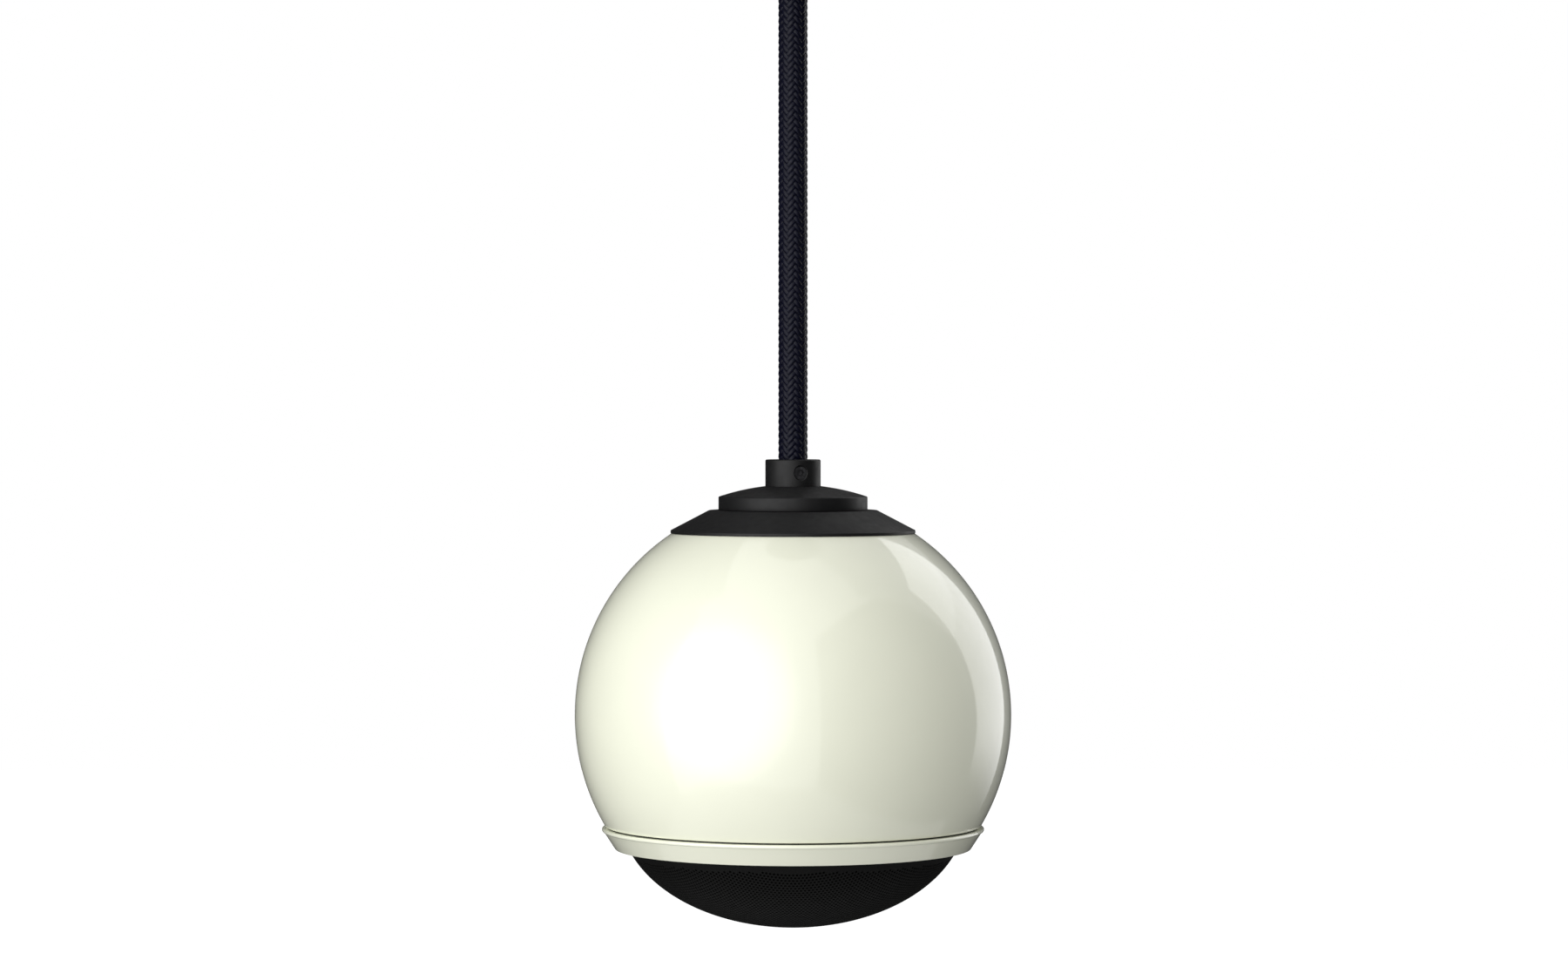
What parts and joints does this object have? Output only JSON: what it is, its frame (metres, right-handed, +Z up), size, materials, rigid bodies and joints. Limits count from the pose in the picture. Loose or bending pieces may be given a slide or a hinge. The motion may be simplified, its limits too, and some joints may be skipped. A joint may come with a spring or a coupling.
{
  "type": "pendant speaker",
  "caption": "Ball-shaped pendant loudspeaker with a perforated domed grille, hung from a ceiling cup on a round textile cord.",
  "frame": {"origin": "on the ceiling, midway between the ceiling plate's two screw holes", "axes": "+Z up, along the cord and through the ball's centre; -Y towards the front, where the collar's grub screw shows; the ceiling screws lie along Y"},
  "size_m": [0.1, 0.1, 0.2486],
  "materials": {
    "ball_paint": "gloss",
    "cap_paint": "satin",
    "grille_paint": "satin",
    "textile_cord": "matte",
    "core_insulation_red": "satin",
    "core_insulation_black": "satin",
    "zinc_steel": "satin",
    "black_screw": "satin",
    "block_nylon": "satin",
    "gasket_rubber": "matte",
    "polyester_fill": "matte",
    "frame_plastic": "satin",
    "surround_rubber": "matte",
    "cone_paper": "matte",
    "former_sheet": "satin",
    "copper_wire": "gloss",
    "spider_cloth": "matte",
    "ferrite": "matte",
    "strip_board": "matte",
    "tinned_brass": "satin"
  },
  "bodies": {
    "housing": {"back_plate": "zinc_steel", "ball_shell": "ball_paint", "basket": "frame_plastic", "cap_dome": "cap_paint", "cap_flange": "cap_paint", "ceiling_collar": "cap_paint", "ceiling_cup": "cap_paint", "ceiling_grub_screw": "black_screw", "ceiling_lead_negative": "core_insulation_black", "ceiling_lead_positive": "core_insulation_red", "ceiling_nipple": "zinc_steel", "ceiling_nut": "zinc_steel", "ceiling_plate": "zinc_steel", "cord": "textile_cord", "cord_collar": "cap_paint", "cord_grub_screw": "black_screw", "cord_tie": "block_nylon", "cup_screws": "black_screw", "damping_fill": "polyester_fill", "driver_gasket": "gasket_rubber", "driver_screws": "black_screw", "flange_gasket": "gasket_rubber", "front_ring": "ball_paint", "grille": "grille_paint", "inner_nut": "zinc_steel", "inner_washer": "zinc_steel", "lead_negative": "core_insulation_black", "lead_positive": "core_insulation_red", "magnet": "ferrite", "spade_connectors": "tinned_brass", "spider": "spider_cloth", "surround": "surround_rubber", "terminal_block": "block_nylon", "terminal_block_screw": "zinc_steel", "terminal_clamp_screws": "zinc_steel", "terminal_lugs": "tinned_brass", "terminal_strip": "strip_board", "top_nipple": "zinc_steel", "top_plate": "zinc_steel"},
    "moving_coil": {"cone": "cone_paper", "dust_cap": "cone_paper", "coil_former": "former_sheet", "coil_winding": "copper_wire"}
  },
  "joints": [
    {"name": "cone_travel", "type": "slide", "parent": "housing", "child": "moving_coil", "axis": [0, 0, 1], "range_m": [-0.002, 0.002], "stiffness_N_per_m": 800, "deforming": ["surround", "spider"]}
  ]
}
